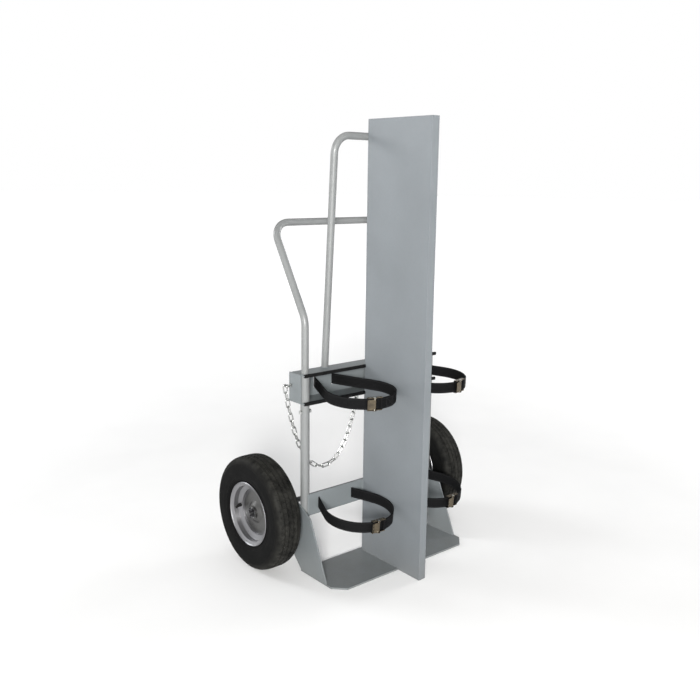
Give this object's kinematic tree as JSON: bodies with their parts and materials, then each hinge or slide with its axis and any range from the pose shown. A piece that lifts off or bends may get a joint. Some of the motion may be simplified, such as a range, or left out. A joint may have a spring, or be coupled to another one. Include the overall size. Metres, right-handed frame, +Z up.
{
  "type": "gas cylinder trolley",
  "caption": "Upright two-wheeled hand trolley with two open bays, a barrier panel between them, belts with cam buckles, chains and a bent tube handle.",
  "frame": {"origin": "on the floor, below the middle of the overall box", "axes": "+X to the right seen from the loading side, +Y from the loading side to the handle, +Z up"},
  "size_m": [0.9074, 0.655, 1.563],
  "materials": {
    "frame_paint": "semi-gloss grey enamel",
    "panel_paint": "satin grey enamel",
    "board": "bare mineral board",
    "edge_rubber": "extruded black rubber",
    "zinc": "bright zinc plate",
    "yellow_zinc": "yellow zinc plate",
    "black_paint": "black paint",
    "webbing": "woven polyester webbing",
    "tyre": "moulded tread rubber",
    "tube_rubber": "smooth rubber",
    "rim_paint": "silver paint",
    "bearing_steel": "ground steel"
  },
  "bodies": {
    "frame": {"base_plate": "frame_paint", "left_side_plate": "frame_paint", "right_side_plate": "frame_paint", "left_post": "frame_paint", "right_post": "frame_paint", "lower_cross_plate": "frame_paint", "mid_channel": "frame_paint", "left_end_plate": "frame_paint", "right_end_plate": "frame_paint", "upper_edge_trim": "edge_rubber", "lower_edge_trim": "edge_rubber", "rear_handle": "frame_paint", "handle_bolts": "zinc", "panel_pan": "panel_paint", "panel_cover": "panel_paint", "panel_core": "board", "panel_hoop": "frame_paint", "axle": "black_paint", "axle_spacers": "black_paint", "axle_washers": "zinc", "cotter_pins": "zinc", "left_upper_belt": "webbing", "left_lower_belt": "webbing", "right_upper_belt": "webbing", "right_lower_belt": "webbing", "left_upper_buckle": "yellow_zinc", "left_lower_buckle": "yellow_zinc", "right_upper_buckle": "yellow_zinc", "right_lower_buckle": "yellow_zinc", "buckle_pins": "zinc", "chain_eyes": "zinc", "chain_hooks": "zinc"},
    "left_wheel": {"left_tyre": "tyre", "left_inner_tube": "tube_rubber", "left_rim_outer": "rim_paint", "left_rim_inner": "rim_paint", "left_hub": "rim_paint", "left_bearings": "bearing_steel", "left_valve": "tube_rubber"},
    "left_upper_lever": {"left_upper_lever": "yellow_zinc"},
    "left_lower_lever": {"left_lower_lever": "yellow_zinc"},
    "left_chain": {"left_chain": "zinc"},
    "right_wheel": {"right_tyre": "tyre", "right_inner_tube": "tube_rubber", "right_rim_outer": "rim_paint", "right_rim_inner": "rim_paint", "right_hub": "rim_paint", "right_bearings": "bearing_steel", "right_valve": "tube_rubber"},
    "right_upper_lever": {"right_upper_lever": "yellow_zinc"},
    "right_lower_lever": {"right_lower_lever": "yellow_zinc"},
    "right_chain": {"right_chain": "zinc"}
  },
  "joints": [
    {"name": "left_wheel_spin", "type": "hinge", "parent": "frame", "child": "left_wheel", "pos_m": [-0.4037, 0.1245, 0.203], "axis": [1, 0, 0], "continuous": true},
    {"name": "right_wheel_spin", "type": "hinge", "parent": "frame", "child": "right_wheel", "pos_m": [0.4037, 0.1245, 0.203], "axis": [1, 0, 0], "continuous": true},
    {"name": "left_lower_lever_pivot", "type": "hinge", "parent": "frame", "child": "left_lower_lever", "pos_m": [-0.18599, -0.27199, 0.22117], "axis": [0, -0.0872, 0.9962], "range_deg": [0, 80], "stiffness_Nm_per_rad": 0.2},
    {"name": "left_upper_lever_pivot", "type": "hinge", "parent": "frame", "child": "left_upper_lever", "pos_m": [-0.20925, -0.26743, 0.64983], "axis": [0, -0.0349, 0.9994], "range_deg": [0, 80], "stiffness_Nm_per_rad": 0.2},
    {"name": "right_lower_lever_pivot", "type": "hinge", "parent": "frame", "child": "right_lower_lever", "pos_m": [0.17134, -0.27301, 0.22108], "axis": [0, -0.0872, 0.9962], "range_deg": [0, 80], "stiffness_Nm_per_rad": 0.2},
    {"name": "right_upper_lever_pivot", "type": "hinge", "parent": "frame", "child": "right_upper_lever", "pos_m": [0.18865, -0.27237, 0.64965], "axis": [0, -0.0349, 0.9994], "range_deg": [0, 80], "stiffness_Nm_per_rad": 0.2},
    {"name": "left_chain_swing", "type": "hinge", "parent": "frame", "child": "left_chain", "pos_m": [-0.345, 0.0435, 0.67], "axis": [0.9522, -0.1273, -0.2778], "range_deg": [-5, 30]},
    {"name": "right_chain_swing", "type": "hinge", "parent": "frame", "child": "right_chain", "pos_m": [0.345, 0.0435, 0.67], "axis": [0.9596, 0.1074, 0.2599], "range_deg": [-5, 30]}
  ]
}
